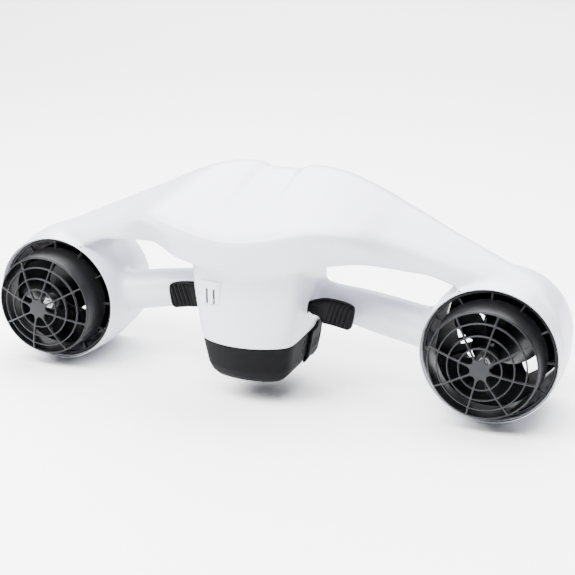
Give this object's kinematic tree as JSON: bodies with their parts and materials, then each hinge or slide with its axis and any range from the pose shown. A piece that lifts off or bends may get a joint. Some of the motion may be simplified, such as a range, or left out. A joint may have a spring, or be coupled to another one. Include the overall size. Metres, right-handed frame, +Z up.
{
  "type": "underwater scooter",
  "caption": "Hand-held twin-thruster underwater scooter: gull-wing hull, guarded ducted propellers, side grips with finger levers and a latched battery below.",
  "frame": {"origin": "under the middle of the scooter, on the surface that the two ducts stand on", "axes": "+X to the scooter's right-hand thruster seen from behind the grips, +Y towards the user (the thrusters' outlets), -Y the direction of travel, +Z up"},
  "size_m": [0.5574, 0.1694, 0.204],
  "materials": {
    "white_shell": "satin-gloss moulded plastic",
    "black_plastic": "satin moulded plastic",
    "charcoal_plastic": "satin moulded plastic",
    "seal_rubber": "soft matte",
    "steel": "machined",
    "copper_winding": "enamelled wire, potted",
    "circuit_board": "solder mask",
    "cell_wrap": "shrink-wrapped cells",
    "contact_brass": "plated"
  },
  "bodies": {
    "hull": {"upper_shell": "white_shell", "lower_shell": "white_shell", "trunk_housing": "white_shell", "vent_panel": "white_shell", "battery_bay": "black_plastic", "terminal_block": "black_plastic", "control_box": "black_plastic", "control_board": "circuit_board", "grip_left": "white_shell", "duct_shell_left": "white_shell", "duct_liner_left": "black_plastic", "front_guard_left": "black_plastic", "rear_guard_left": "black_plastic", "motor_pod_left": "black_plastic", "motor_tail_left": "black_plastic", "motor_stator_left": "copper_winding", "front_bearing_left": "steel", "rear_bearing_left": "steel", "shaft_seal_left": "seal_rubber", "motor_cable_left": "seal_rubber", "lever_pin_left": "steel", "lever_sensor_left": "charcoal_plastic", "lever_spring_left": "steel", "grip_right": "white_shell", "duct_shell_right": "white_shell", "duct_liner_right": "black_plastic", "front_guard_right": "black_plastic", "rear_guard_right": "black_plastic", "motor_pod_right": "black_plastic", "motor_tail_right": "black_plastic", "motor_stator_right": "copper_winding", "front_bearing_right": "steel", "rear_bearing_right": "steel", "shaft_seal_right": "seal_rubber", "motor_cable_right": "seal_rubber", "lever_pin_right": "steel", "lever_sensor_right": "charcoal_plastic", "lever_spring_right": "steel"},
    "propeller_left": {"propeller_left": "black_plastic", "propeller_shaft_left": "steel", "propeller_nut_left": "steel", "motor_rotor_left": "steel"},
    "propeller_right": {"propeller_right": "black_plastic", "propeller_shaft_right": "steel", "propeller_nut_right": "steel", "motor_rotor_right": "steel"},
    "lever_left": {"finger_lever_left": "black_plastic", "lever_magnet_left": "steel"},
    "lever_right": {"finger_lever_right": "black_plastic", "lever_magnet_right": "steel"},
    "battery": {"battery_cap": "charcoal_plastic", "battery_case": "black_plastic", "battery_cells": "cell_wrap", "battery_board": "circuit_board", "battery_seal": "seal_rubber", "battery_contacts": "contact_brass", "latch_pin_left": "steel", "latch_pin_right": "steel"},
    "latch_left": {"battery_latch_left": "charcoal_plastic"},
    "latch_right": {"battery_latch_right": "charcoal_plastic"}
  },
  "joints": [
    {"name": "propeller_spin_left", "type": "hinge", "parent": "hull", "child": "propeller_left", "pos_m": [-0.215, -0.006, 0.0637], "axis": [0, 1, 0], "continuous": true},
    {"name": "propeller_spin_right", "type": "hinge", "parent": "hull", "child": "propeller_right", "pos_m": [0.215, -0.006, 0.0637], "axis": [0, 1, 0], "continuous": true},
    {"name": "lever_squeeze_left", "type": "hinge", "parent": "hull", "child": "lever_left", "pos_m": [-0.0412, -0.006, 0.088], "axis": [0, 0, -1], "range_deg": [0, 12], "stiffness_Nm_per_rad": 0.5, "springref_deg": -8.59},
    {"name": "lever_squeeze_right", "type": "hinge", "parent": "hull", "child": "lever_right", "pos_m": [0.0412, -0.006, 0.088], "axis": [0, 0, 1], "range_deg": [0, 12], "stiffness_Nm_per_rad": 0.5, "springref_deg": -8.59},
    {"name": "battery_slide", "type": "slide", "parent": "hull", "child": "battery", "axis": [0, 0, -1], "range_m": [0, 0.065]},
    {"name": "latch_swing_left", "type": "hinge", "parent": "battery", "child": "latch_left", "pos_m": [-0.035, 0.02, 0.028], "axis": [0, -1, 0], "range_deg": [0, 35]},
    {"name": "latch_swing_right", "type": "hinge", "parent": "battery", "child": "latch_right", "pos_m": [0.035, 0.02, 0.028], "axis": [0, 1, 0], "range_deg": [0, 35]}
  ]
}
